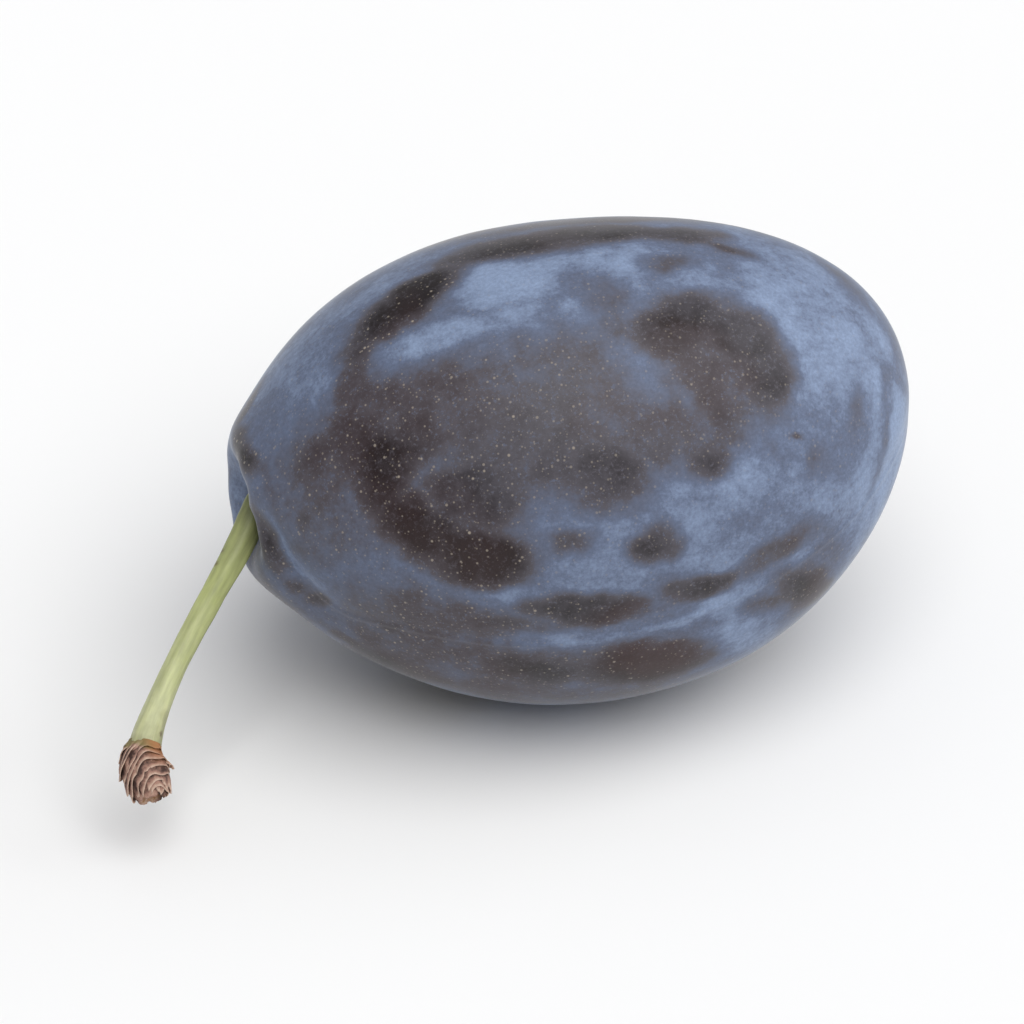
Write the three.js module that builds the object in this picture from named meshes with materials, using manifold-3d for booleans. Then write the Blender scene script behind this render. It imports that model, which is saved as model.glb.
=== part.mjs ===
// A blue prune plum, picked with its stem and lying on its side.
//
// Millimetres, +Z up. The origin is on the small flat spot that the fruit
// rests on, right under its middle. +X runs along the fruit to the blossom
// end, so the stem is at -X, and -Y is the side that carries the suture.
//
// Three solids: the fruit, its green stem, and the woody knob of bud scales
// where the stem broke off its spur.

import * as THREE from 'three';
import { mergeVertices } from 'three/addons/utils/BufferGeometryUtils.js';
import Module from 'manifold-3d';

const wasm = await Module();
wasm.setup();

const { PI, sin, cos, acos, atan2, exp, hypot, min, max, floor } = Math;
const deg = PI / 180;

// ---------------------------------------------------------------------------
// Driving dimensions
// ---------------------------------------------------------------------------

// Fruit: an egg-like round, slightly deeper towards the suture than across it.
const halfLength = 24.9; // middle to either pole, before the stem cavity
const halfDepth = 18.0; // middle line to the suture
const halfThickness = 17.6; // middle line to a side, square to the suture
const stemEndSlimness = 0.045; // how much slimmer the stem end is on the suture's side
const tipLift = 2.9; // the blossom tip stands this much above the middle line
const restHeight = 17.3; // from the flat spot up to the middle line

// Suture: a shallow furrow from pole to pole, deeper beside the stem.
const sutureTurn = 100 * deg; // at mid length, from the top over the -Y side
const sutureTwist = -9 * deg; // how far it wanders up towards the blossom end
const sutureDepth = 0.45;
const sutureStemDepth = 2.6; // added to it at the stem end
const sutureStemReach = 0.42; // radians from the stem pole
const sutureHalfWidth = 0.3; // radians round the middle line
const sutureSteeper = 0.12; // narrower by this on its upper side, at the stem pole
const sutureGentler = 0.3; // wider by this on its lower side, at the stem pole
const sutureSwing = -60 * deg; // how far it turns up at the stem pole
const sutureSwingReach = 0.42; // radians from the stem pole
const sutureSag = 8 * deg; // how far it dips before that
const sutureSagPlace = 0.62; // radians from the stem pole
const sutureSagReach = 0.17;

// Stem cavity: a funnel, longer along the suture, with a narrow socket.
const cavityDepth = 2.6;
const cavityRadius = 3.0;
const cavityStretch = 1.25;
const socketDepth = 1.7;
const socketRadius = 2.1;
const shoulderHeight = 0.9; // the full ring round the cavity
const shoulderRadius = 4.2;
const shoulderWidth = 2.2;

// Blossom end: a dimple with the dry stub of the style in it.
const dimpleDepth = 0.25;
const dimpleRadius = 1.8;
const styleHeight = 0.45;
const styleRadius = 0.6;

// The flatter stretch on top, just behind the highest line.
const flatTopDepth = 0.6;
const flatTopTurn = -30 * deg;
const flatTopHalfWidth = 0.5; // radians
const flatTopMiddle = 0.14; // share of the half length, towards the blossom end
const flatTopHalfLength = 0.45;

// Slow swells that keep the round from being perfect: lobes round the fruit,
// which turn by twist radians from the middle to a pole.
const swells = [
  { height: 0.15, lobes: 3, start: 0.5, twist: 2.1 },
  { height: 0.09, lobes: 5, start: -1.8, twist: -3.2 },
];

// Stem: bends out of the cavity in one plane, which leans down to the front.
const stemLean = 37 * deg; // below the horizontal, on the -Y side
const stemRoute = [ // [out along -X, along the lean] from the fruit's middle
  [21.8, -0.5],
  [23.0, -0.4],
  [23.9, 0.9],
  [25.2, 2.8],
  [28.2, 6.6],
  [31.2, 10.5],
  [33.4, 13.8],
  [34.7, 16.3],
  [35.05, 17.8],
  [34.9, 20.3],
];
const stemRadii = [0.95, 1.06, 0.97, 0.89, 0.86, 0.84, 0.92, 1.15]; // root to knob
const jointGap = 0.3; // between the stem and the knob

// Knob: two tapers back to back, covered by overlapping bud scales.
const knobLength = 4.2;
const knobStartRadius = 1.2;
const knobEndRadius = 1.05;
const knobBulge = 0.66;
const scaleRows = 5;
const scalesInRow = 4;
const scaleLift = 0.3; // how far a scale's free edge stands out
const scaleOverlap = 1.8; // its length, in rows
const scaleTongue = 0.1; // its tip reaches this share of the knob past its sides
const rowSlant = 0.05; // the rows lie askew by this share of the knob
const brokenFaceDepth = 0.6;

// Fineness of the facets, and how near two corners are taken for one.
const weldDistance = 1e-4;
const fruitAround = 72;
const fruitAlong = 46;
const poleCrowding = 0.62; // 0 spreads the rings evenly, 1 crowds them at the poles
const stemAround = 16;
const stemAlong = 26;
const knobAround = 40;
const knobAlong = 30;

// ---------------------------------------------------------------------------
// Helpers
// ---------------------------------------------------------------------------

const bell = (value) => exp(-(value ** 2));

const wrap = (turn) => turn - 2 * PI * floor((turn + PI) / (2 * PI));

// Moves every vertex by place(x, y, z) and joins the vertices that coincide,
// so that the facets share their corners.
function reshape(geometry, place) {
  const shaped = geometry.clone();
  shaped.deleteAttribute('normal');
  shaped.deleteAttribute('uv');
  const position = shaped.attributes.position;
  for (let i = 0; i < position.count; i += 1) {
    const point = place(position.getX(i), position.getY(i), position.getZ(i));
    position.setXYZ(i, point.x, point.y, point.z);
  }
  return dropSlivers(mergeVertices(shaped, weldDistance));
}

// Leaves out the facets that shrank to a line where a ring closes at a pole.
function dropSlivers(geometry) {
  const index = geometry.index.array;
  const kept = [];
  for (let i = 0; i < index.length; i += 3) {
    const [a, b, c] = index.slice(i, i + 3);
    if (a !== b && b !== c && c !== a) {
      kept.push(a, b, c);
    }
  }
  geometry.setIndex(kept);
  return geometry;
}

const toVector = (x, y, z) => new THREE.Vector3(x, y, z);

function toSolid(geometry) {
  return new wasm.Manifold(new wasm.Mesh({
    numProp: 3,
    vertProperties: new Float32Array(geometry.attributes.position.array),
    triVerts: new Uint32Array(geometry.index.array),
  }));
}

function toGeometry(solid) {
  const mesh = solid.getMesh();
  const geometry = new THREE.BufferGeometry();
  geometry.setAttribute('position', new THREE.BufferAttribute(mesh.vertProperties, 3));
  geometry.setIndex(new THREE.BufferAttribute(mesh.triVerts, 1));
  geometry.computeVertexNormals();
  return geometry;
}

function part(name, geometry, colour, roughness) {
  const material = new THREE.MeshStandardMaterial({ color: colour, roughness, metalness: 0 });
  const mesh = new THREE.Mesh(geometry, material);
  mesh.name = name;
  return mesh;
}

// ---------------------------------------------------------------------------
// Fruit
// ---------------------------------------------------------------------------

// The skin, centred on the fruit's middle. polar runs from 0 at the stem pole
// to PI at the blossom pole, turn goes from the top over the -Y side.
function skinPoint(polar, turn) {
  const along = -cos(polar);
  const stemHalf = polar < PI / 2;
  const off = wrap(turn - sutureTurn);
  const slimness = stemHalf ? stemEndSlimness * (1 + cos(off)) / 2 : 0;
  const fullness = 1 - slimness * sin(2 * polar) ** 2;
  let x = halfLength * along * fullness;
  let out = halfDepth * cos(off) * fullness * sin(polar); // towards the suture
  let side = halfThickness * sin(off) * fullness * sin(polar); // square to it

  if (stemHalf) {
    const reach = hypot(out / cavityStretch, side);
    x -= shoulderHeight * bell((reach - shoulderRadius) / shoulderWidth);
    x += cavityDepth * bell(reach / cavityRadius);
    x += socketDepth * bell((reach / socketRadius) ** 2);
  } else {
    const reach = hypot(out, side);
    x -= dimpleDepth * bell(reach / dimpleRadius);
    x += styleHeight * bell((reach / styleRadius) ** 2);
  }

  const swing = sutureSwing * bell((polar / sutureSwingReach) ** 2)
    + sutureSag * bell((polar - sutureSagPlace) / sutureSagReach);
  const offFurrow = wrap(turn - sutureTurn - sutureTwist * along - swing);
  const nearStem = bell(polar / sutureStemReach);
  const halfWidth = sutureHalfWidth
    + nearStem * (offFurrow > 0 ? sutureGentler : -sutureSteeper);
  const furrow = (sutureDepth + sutureStemDepth * nearStem)
    * bell(offFurrow / halfWidth) * min(2 * sin(polar), 1);
  let rise = -furrow;
  for (const { height, lobes, start, twist } of swells) {
    rise += height * sin(lobes * turn + start + twist * along) * sin(polar) ** 2;
  }
  out += rise * cos(off);
  side += rise * sin(off);

  let y = -out * sin(sutureTurn) - side * cos(sutureTurn);
  let z = out * cos(sutureTurn) - side * sin(sutureTurn);
  z += tipLift * max(along, 0) ** 3;
  const flatTop = flatTopDepth * bell(wrap(turn - flatTopTurn) / flatTopHalfWidth)
    * bell((along - flatTopMiddle) / flatTopHalfLength) * sin(polar);
  y += flatTop * sin(flatTopTurn);
  z -= flatTop * cos(flatTopTurn);
  return toVector(x, y, z);
}

function buildFruit() {
  const ball = new THREE.SphereGeometry(1, fruitAround, fruitAlong);
  const skin = reshape(ball, (x, y, z) => {
    const even = acos(min(max(-y, -1), 1));
    const polar = even - poleCrowding * sin(2 * even) / 2;
    return skinPoint(polar, atan2(-z, x));
  });
  const table = new THREE.BoxGeometry(4 * halfLength, 4 * halfLength, 2 * halfLength);
  table.translate(0, 0, -restHeight - halfLength);
  return toGeometry(toSolid(skin).subtract(toSolid(reshape(table, toVector))));
}

// ---------------------------------------------------------------------------
// Stem and knob
// ---------------------------------------------------------------------------

const outward = new THREE.Vector3(-1, 0, 0);
const leaning = new THREE.Vector3(0, -cos(stemLean), -sin(stemLean));
const across = new THREE.Vector3().crossVectors(outward, leaning);

const stemLine = new THREE.CatmullRomCurve3(
  stemRoute.map(([out, lean]) => new THREE.Vector3()
    .addScaledVector(outward, out)
    .addScaledVector(leaning, lean)),
  false,
  'catmullrom',
  0.5,
);
const stemLength = stemLine.getLength() - knobLength - jointGap;

// Lays a round that stands on the Y axis along the stem's line, with its foot
// at the given distance from the root.
function bendAlong(geometry, start) {
  const total = stemLine.getLength();
  return reshape(geometry, (x, y, z) => {
    const share = min(max((start + y) / total, 0), 1);
    const forward = stemLine.getTangentAt(share);
    const upper = new THREE.Vector3().crossVectors(across, forward);
    return stemLine.getPointAt(share)
      .addScaledVector(upper, x)
      .addScaledVector(across, -z);
  });
}

// A value read off a list of evenly spaced ones, joined by straight lines.
function readAlong(values, share) {
  const place = min(max(share, 0), 1) * (values.length - 1);
  const first = min(floor(place), values.length - 2);
  return THREE.MathUtils.lerp(values[first], values[first + 1], place - first);
}

function buildStem() {
  const profile = [new THREE.Vector2(0, 0)];
  for (let i = 0; i <= stemAlong; i += 1) {
    const share = i / stemAlong;
    profile.push(new THREE.Vector2(readAlong(stemRadii, share), share * stemLength));
  }
  profile.push(new THREE.Vector2(0, stemLength));
  return bendAlong(new THREE.LatheGeometry(profile, stemAround), 0);
}

const knobRadius = (share) => knobStartRadius + (knobEndRadius - knobStartRadius) * share
  + knobBulge * sin(PI * share);

// How far the scales stand out. Each row is a ring of wedges that rise to a
// tongue-shaped free edge, and the highest row wins.
function scaleHeight(share, turn) {
  let height = 0;
  for (let row = 1; row <= scaleRows; row += 1) {
    const stagger = row % 2 ? 0.5 : 0;
    const place = turn * scalesInRow / (2 * PI) + stagger;
    const acrossScale = place - floor(place);
    const tongue = scaleTongue * 4 * acrossScale * (1 - acrossScale);
    const slant = rowSlant * sin(turn + row);
    const behind = (row - 0.4) / scaleRows + tongue + slant - share;
    if (behind >= 0) {
      height = max(height, scaleLift * (1 - behind * scaleRows / scaleOverlap));
    }
  }
  return height * min(1, 6 * share);
}

function buildKnob() {
  const profile = [new THREE.Vector2(0, 0), new THREE.Vector2(knobStartRadius / 2, 0)];
  for (let i = 0; i <= knobAlong; i += 1) {
    const share = i / knobAlong;
    profile.push(new THREE.Vector2(knobRadius(share), share * knobLength));
  }
  for (const share of [0.75, 0.45, 0]) {
    const sunk = brokenFaceDepth * (1 - share ** 2);
    profile.push(new THREE.Vector2(knobEndRadius * share, knobLength - sunk));
  }
  const core = new THREE.LatheGeometry(profile, knobAround);
  const scaled = reshape(core, (x, y, z) => {
    const radius = hypot(x, z);
    const share = y / knobLength;
    const turn = atan2(z, x);
    const onSide = radius > knobRadius(share) - weldDistance;
    const grown = onSide ? radius + scaleHeight(share, turn) : radius;
    return toVector(grown * cos(turn), y, grown * sin(turn));
  });
  return bendAlong(scaled, stemLength + jointGap);
}

// ---------------------------------------------------------------------------
// The plum
// ---------------------------------------------------------------------------

const plum = new THREE.Group();
plum.position.z = restHeight;
plum.add(part('fruit', buildFruit(), 0x59617a, 0.6));
plum.add(part('stem', buildStem(), 0xa9ae6b, 0.55));
plum.add(part('bud_scale_knob', buildKnob(), 0x8a6650, 0.8));

export default plum;
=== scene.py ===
"""A blue prune plum with its stem, lying on a pale floor.

Laid out as an add-on and run as a script. Finer pieces take the place of the
frame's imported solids, each where its solid stands: a skin with its bloom for
the fruit, a green stem, and a core for the knob, with bud scales laid over it.

Lengths are in metres, and MM turns millimetres into them. +Z is up, +X runs
along the fruit to its blossom end, and -Y is the side with the suture.
"""

import math
import random

import bpy
import numpy as np
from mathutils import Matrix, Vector, noise


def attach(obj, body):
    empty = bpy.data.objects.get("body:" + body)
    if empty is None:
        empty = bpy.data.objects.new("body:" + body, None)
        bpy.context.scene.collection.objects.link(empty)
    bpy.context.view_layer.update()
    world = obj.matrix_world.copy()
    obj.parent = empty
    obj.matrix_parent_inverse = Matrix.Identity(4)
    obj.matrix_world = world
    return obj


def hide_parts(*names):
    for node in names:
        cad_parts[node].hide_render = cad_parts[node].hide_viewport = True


bl_info = {
    "name": "Prune Plum",
    "version": (1, 0, 0),
    "blender": (4, 5, 0),
    "location": "View3D > Sidebar > Plum",
    "description": "A blue prune plum with its bloom, stem and bud scales",
    "category": "Add Mesh",
}

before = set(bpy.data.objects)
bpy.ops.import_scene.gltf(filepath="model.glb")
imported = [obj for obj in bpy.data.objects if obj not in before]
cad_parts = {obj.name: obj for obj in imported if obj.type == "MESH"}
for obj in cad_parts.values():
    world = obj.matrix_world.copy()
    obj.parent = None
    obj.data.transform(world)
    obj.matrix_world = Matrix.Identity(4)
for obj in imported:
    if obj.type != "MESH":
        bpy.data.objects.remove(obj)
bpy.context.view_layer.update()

MM = 0.001
DEG = math.pi / 180
BODY = "root"


# ---------------------------------------------------------------------------
# Settings
# ---------------------------------------------------------------------------


def length(name, value, description):
    return bpy.props.FloatProperty(
        name=name, description=description, default=value * MM, unit="LENGTH", precision=5
    )


def angle(name, value, description):
    return bpy.props.FloatProperty(
        name=name, description=description, default=value * DEG, subtype="ANGLE"
    )


def number(name, value, description):
    return bpy.props.FloatProperty(name=name, description=description, default=value)


def count(name, value, description):
    return bpy.props.IntProperty(name=name, description=description, default=value, min=3)


def seed(description, value):
    return bpy.props.IntProperty(name="Seed", description=description, default=value)


def colour(name, value, description):
    return bpy.props.FloatVectorProperty(
        name=name, description=description, default=value, subtype="COLOR", size=3, min=0, max=1
    )


class PlumFruitSettings(bpy.types.PropertyGroup):
    """Sizes and colours of the fruit."""

    half_length: length("Half Length", 24.9, "Middle to either pole, before the cavity")
    half_depth: length("Half Depth", 18.0, "Middle line out to the suture")
    half_thickness: length("Half Thickness", 17.6, "Middle line out to a side")
    rest_height: length("Rest Height", 17.3, "Flat spot up to the middle line")
    tip_lift: length("Tip Lift", 2.9, "How far the blossom tip stands up")
    suture_turn: angle("Suture Turn", 100, "From the top over the front, at mid length")
    suture_twist: angle("Suture Twist", -9, "How far the suture wanders to the blossom end")
    suture_depth: length("Suture Depth", 0.45, "Depth of the furrow at mid length")
    suture_stem_depth: length("Suture Depth at Stem", 2.6, "Added depth at the stem end")
    cavity_depth: length("Cavity Depth", 2.6, "Depth of the hollow round the stem")
    cavity_radius: length("Cavity Radius", 3.0, "Radius of the hollow round the stem")
    rings: count("Rings", 250, "Rings of faces from pole to pole")
    sides: count("Sides", 340, "Faces round the fruit")
    seed: seed("Picks the rubbed patches on the far side", 11)
    thick_bloom: colour("Thick Bloom", (0.250, 0.325, 0.480), "Skin where the bloom is untouched")
    bloom: colour("Bloom", (0.120, 0.150, 0.232), "Skin under an even bloom")
    thin_bloom: colour("Thin Bloom", (0.086, 0.080, 0.095), "Skin where the bloom is thin")
    bare_skin: colour("Bare Skin", (0.013, 0.009, 0.010), "Skin with the bloom rubbed off")
    ruddy_skin: colour("Ruddy Skin", (0.055, 0.026, 0.025), "Redder stretches of bare skin")
    style_scar: colour("Style Scar", (0.060, 0.030, 0.018), "The dry scar at the blossom tip")
    lenticel: colour("Lenticel", (0.400, 0.345, 0.280), "The small corky dots")


class PlumStemSettings(bpy.types.PropertyGroup):
    """Sizes and colours of the stem."""

    lean: angle("Lean", 37, "How far the bending plane dips below the horizontal")
    sunk: length("Sunk", 1.3, "How far the root reaches into the flesh")
    rings: count("Rings", 150, "Rings of faces along the stem")
    sides: count("Sides", 40, "Faces round the stem")
    root_green: colour("Root Green", (0.205, 0.220, 0.092), "Olive where it leaves the cavity")
    mid_green: colour("Middle Green", (0.435, 0.472, 0.195), "Yellow green half way")
    end_green: colour("End Green", (0.560, 0.580, 0.320), "Pale green before the knob")
    fleck: colour("Fleck", (0.115, 0.070, 0.032), "The brown flecks")


class PlumKnobSettings(bpy.types.PropertyGroup):
    """Sizes and colours of the knob of bud scales."""

    length: length("Length", 4.2, "From the stem's end to the broken face")
    start_radius: length("Start Radius", 1.2, "Where the knob meets the stem")
    end_radius: length("End Radius", 1.05, "Rim of the broken face")
    bulge: length("Bulge", 0.58, "Added to the radius half way")
    scale_thickness: length("Scale Thickness", 0.10, "Thickness of one scale")
    dish: length("Dish", 0.75, "Depth of the broken face")
    seed: seed("Picks the scales' shapes", 4)
    # painted shade: the dark brown laid into the crevices between the scales
    shade_brown: colour("Dark Scale", (0.062, 0.034, 0.028), "Brown in the crevices")
    scale: colour("Scale", (0.345, 0.195, 0.148), "Brown of the scales")
    scale_edge: colour("Scale Edge", (0.620, 0.450, 0.350), "Dry light edges")
    collar: colour("Collar", (0.230, 0.200, 0.075), "Olive where the knob meets the stem")
    rust: colour("Rust", (0.430, 0.185, 0.080), "The redder side by the collar")
    wood: colour("Broken Wood", (0.340, 0.170, 0.070), "The torn face at the end")


class PlumStageSettings(bpy.types.PropertyGroup):
    """Floor, light and camera."""

    camera_azimuth: angle("Camera Azimuth", -14.2, "Round the plum from the -Y side")
    camera_elevation: angle("Camera Elevation", 38, "Above the horizontal")
    camera_distance: length("Camera Distance", 600, "From the point looked at")
    lens: number("Lens", 291, "Focal length on a 36 mm sensor")
    aim_right: length("Aim Right", -4.3, "Right of the fruit's middle")
    aim_up: length("Aim Up", -4.0, "Above the fruit's middle")
    floor: colour("Floor", (0.90, 0.90, 0.90), "The pale floor")
    horizon: colour("Horizon", (0.957, 0.961, 0.965), "The surround near the floor's far edge")
    low_surround: colour("Low Surround", (0.21, 0.21, 0.22), "The surround at the plum's sides")
    high_surround: colour("High Surround", (0.66, 0.67, 0.69), "The surround overhead")
    key_strength: number("Key Strength", 1.95, "The broad lamp above, in watts per square metre")
    fill_strength: number("Fill Strength", 0.8, "The second lamp, in watts per square metre")


# ---------------------------------------------------------------------------
# Helpers: numbers and meshes
# ---------------------------------------------------------------------------


def bell(value):
    return np.exp(-(value**2))


def wrap(turn):
    return (turn + math.pi) % (2 * math.pi) - math.pi


def smooth(value):
    value = np.clip(value, 0, 1)
    return value * value * (3 - 2 * value)


def noise_at(points, per_unit, offset=0.0):
    """Smooth noise from -1 to 1 at an array of points."""
    flat = points.reshape(-1, 3) * per_unit + offset
    values = [noise.noise(Vector(p)) for p in flat]
    return np.array(values).reshape(points.shape[:-1])


def tube_faces(rows, sides):
    """Quads of a round with that many rows of vertices, closed round its sides."""
    row = np.arange(rows - 1)[:, None] * sides
    side = np.arange(sides)[None, :]
    following = (side + 1) % sides
    corners = (row + side, row + following, row + sides + following, row + sides + side)
    return np.stack(corners, axis=-1).reshape(-1, 4).tolist()


def closed_round(name, points, flipped=False):
    """A mesh object from rows of points, each row a ring, with both ends capped by a fan.

    flipped turns the faces over, for rings whose points run round the other way.
    """
    rows, sides = points.shape[:2]
    vertices = points.reshape(-1, 3)
    start, end = points[0].mean(axis=0), points[-1].mean(axis=0)
    vertices = np.vstack((vertices, start, end))
    faces = tube_faces(rows, sides)
    last = (rows - 1) * sides
    for side in range(sides):
        following = (side + 1) % sides
        faces.append((following, side, rows * sides))
        faces.append((last + side, last + following, rows * sides + 1))
    if flipped:
        faces = [face[::-1] for face in faces]
    return mesh_object(name, vertices, faces)


def mesh_object(name, vertices, faces):
    mesh = bpy.data.meshes.new(name)
    mesh.from_pydata(vertices.tolist(), [], faces)
    mesh.update()
    mesh.shade_smooth()
    made = bpy.data.objects.new(name, mesh)
    bpy.context.scene.collection.objects.link(made)
    return made


def store(piece, name, values):
    """Keeps a number, or a vector, for every vertex."""
    kind, key = ("FLOAT_VECTOR", "vector") if values.shape[-1] == 3 else ("FLOAT", "value")
    attribute = piece.data.attributes.new(name, kind, "POINT")
    attribute.data.foreach_set(key, values.astype(np.float32).ravel())


def with_caps(values):
    """Values of all rows, followed by the mean of either end row for the fan centres."""
    rows = values.reshape(-1, values.shape[-1]) if values.ndim == 3 else values.reshape(-1, 1)
    width = values.shape[1]
    return np.vstack((rows, rows[:width].mean(axis=0), rows[-width:].mean(axis=0)))


def set_stops(ramp, stops):
    """Gives a colour ramp its (place, colour) stops."""
    while len(ramp.elements) < len(stops):
        ramp.elements.new(0.5)
    for element, (place, tint) in zip(ramp.elements, stops):
        element.position = place
        element.color = (*tint, 1)


def finish_piece(piece, material, node):
    """Gives a piece its finish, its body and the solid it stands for."""
    piece.data.materials.append(material)
    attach(piece, BODY)
    if node:
        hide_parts(node)


# ---------------------------------------------------------------------------
# Helpers: materials
# ---------------------------------------------------------------------------


class Finish:
    """A material's nodes, made and linked by short calls that return sockets."""

    def __init__(self, name):
        self.material = bpy.data.materials.new(name)
        self.material.use_nodes = True
        self.tree = self.material.node_tree
        self.shader = self.tree.nodes["Principled BSDF"]

    def node(self, kind, values=None, **settings):
        made = self.tree.nodes.new(kind)
        for key, value in settings.items():
            setattr(made, key, value)
        for key, value in (values or {}).items():
            self.set(made.inputs[key], value)
        return made

    def set(self, socket, value):
        if isinstance(value, bpy.types.NodeSocket):
            self.tree.links.new(value, socket)
        elif socket.type == "RGBA" and len(value) == 3:
            socket.default_value = (*value, 1)
        else:
            socket.default_value = value

    def attribute(self, name, vector=False):
        made = self.node("ShaderNodeAttribute", attribute_name=name)
        return made.outputs["Vector" if vector else "Fac"]

    def place(self, source, scale, turn=(0, 0, 0)):
        """The source's places, stretched and turned."""
        values = {"Vector": source, "Scale": scale, "Rotation": turn}
        return self.node("ShaderNodeMapping", values).outputs[0]

    def here(self):
        return self.node("ShaderNodeTexCoord").outputs["Object"]

    def noise(self, source, per_mm, detail=2.0, roughness=0.5, distortion=0.0):
        values = {
            "Vector": source,
            "Scale": per_mm / MM,
            "Detail": detail,
            "Roughness": roughness,
            "Distortion": distortion,
        }
        return self.node("ShaderNodeTexNoise", values).outputs["Fac"]

    def cells(self, source, per_mm):
        """Distance to the nearest cell's middle, and the cell's random colour."""
        made = self.node("ShaderNodeTexVoronoi", {"Vector": source, "Scale": per_mm / MM})
        return made.outputs["Distance"], made.outputs["Color"]

    def calc(self, operation, a, b=0.0, clamp=False):
        made = self.node("ShaderNodeMath", {0: a, 1: b}, operation=operation, use_clamp=clamp)
        return made.outputs[0]

    def spread(self, value, low, high, to_low=0.0, to_high=1.0, soft=True):
        """Maps low..high to to_low..to_high, clamped, with soft ends unless soft is False."""
        values = {"Value": value, "From Min": low, "From Max": high}
        values.update({"To Min": to_low, "To Max": to_high})
        kind = "SMOOTHSTEP" if soft else "LINEAR"
        return self.node("ShaderNodeMapRange", values, interpolation_type=kind).outputs["Result"]

    def sway(self, value, reach):
        """Turns noise into a shift of up to that reach, either way."""
        return self.spread(value, 0.3, 0.7, -reach, reach, soft=False)

    def mix(self, share, a, b, blend="MIX"):
        made = self.node("ShaderNodeMix", data_type="RGBA", blend_type=blend, clamp_factor=True)
        self.set(made.inputs[0], share)
        self.set(made.inputs[6], a)
        self.set(made.inputs[7], b)
        return made.outputs[2]

    def shade(self, tint, factor):
        """A colour times a number."""
        grey = self.node("ShaderNodeCombineColor", {0: factor, 1: factor, 2: factor}).outputs[0]
        return self.mix(1.0, tint, grey, "MULTIPLY")

    def ramp(self, value, stops):
        """A colour ramp through (place, colour) stops."""
        made = self.node("ShaderNodeValToRGB", {"Fac": value})
        set_stops(made.color_ramp, stops)
        return made.outputs["Color"]

    def bump(self, height, strength, distance):
        values = {"Height": height, "Strength": strength, "Distance": distance}
        return self.node("ShaderNodeBump", values).outputs["Normal"]

    def dress(self, **inputs):
        """Sets the shader's sockets, with underscores for the spaces in their names."""
        for key, value in inputs.items():
            self.set(self.shader.inputs[key.replace("_", " ")], value)
        return self.material


# ---------------------------------------------------------------------------
# Fruit
# ---------------------------------------------------------------------------

STEM_END_SLIMNESS = 0.045  # how much slimmer the stem end is, on the suture's side
SUTURE_STEM_REACH = 0.42  # radians from the stem pole
SUTURE_HALF_WIDTH = 0.3  # radians round the middle line
SUTURE_STEEPER = 0.12  # narrower by this on its upper side, at the stem pole
SUTURE_GENTLER = 0.30  # wider by this on its lower side, at the stem pole
SUTURE_SWING = -60 * DEG  # how far the furrow turns up at the stem pole
SUTURE_SWING_REACH = 0.42  # radians from the stem pole
SUTURE_SAG = 8 * DEG  # how far it dips before that
SUTURE_SAG_PLACE = 0.62  # radians from the stem pole
SUTURE_SAG_REACH = 0.17  # radians to either side of that place
SUTURE_LINE_DEPTH = 0.10 * MM  # the fine raised line along the furrow's bottom
SUTURE_LINE_WIDTH = 0.34 * MM
SUTURE_TROUGH_DEPTH = 0.9  # the broader dip beside that line, as a share of its depth
SUTURE_TROUGH_WIDTH = 4  # the same, in widths of the line
CAVITY_STRETCH = 1.25  # how many times as long it is towards the suture as across
SOCKET_DEPTH = 0.5 * MM
SOCKET_RADIUS = 1.3 * MM
SHOULDER_HEIGHT = 0.9 * MM
SHOULDER_RADIUS = 4.2 * MM
SHOULDER_WIDTH = 2.2 * MM
DIMPLE_DEPTH = 0.25 * MM
DIMPLE_RADIUS = 1.8 * MM
STYLE_HEIGHT = 0.45 * MM
STYLE_RADIUS = 0.6 * MM
STYLE_SCAR_RADIUS = 0.75 * MM
FLAT_TOP_DEPTH = 0.6 * MM  # the top is a little flat behind its highest line
FLAT_TOP_TURN = -30 * DEG
FLAT_TOP_HALF_WIDTH = 0.5  # radians
FLAT_TOP_MIDDLE = 0.14  # share of the half length, from the middle
FLAT_TOP_HALF_LENGTH = 0.45  # share of the half length
SWELLS = (  # height, lobes round the fruit, start, twist to a pole in radians
    (0.15 * MM, 3, 0.5, 2.1),
    (0.09 * MM, 5, -1.8, -3.2),
)
PUCKER_HEIGHT = 0.04 * MM  # small folds that run into the cavity
PUCKERS = 9
PUCKER_TWIST = 40  # how much they slant, in radians over the half length
PUCKER_RADIUS = 3.4 * MM  # the ring round the pole where they stand
PUCKER_WIDTH = 1.7 * MM
UNEVENNESS = 0.05 * MM  # random dips of the skin
UNEVENNESS_SIZE = 4 * MM
POLE_CROWDING = 0.62  # how much closer the rings lie at the poles
SUTURE_CROWDING = 0.7  # how much closer the sides lie at the suture
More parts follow.
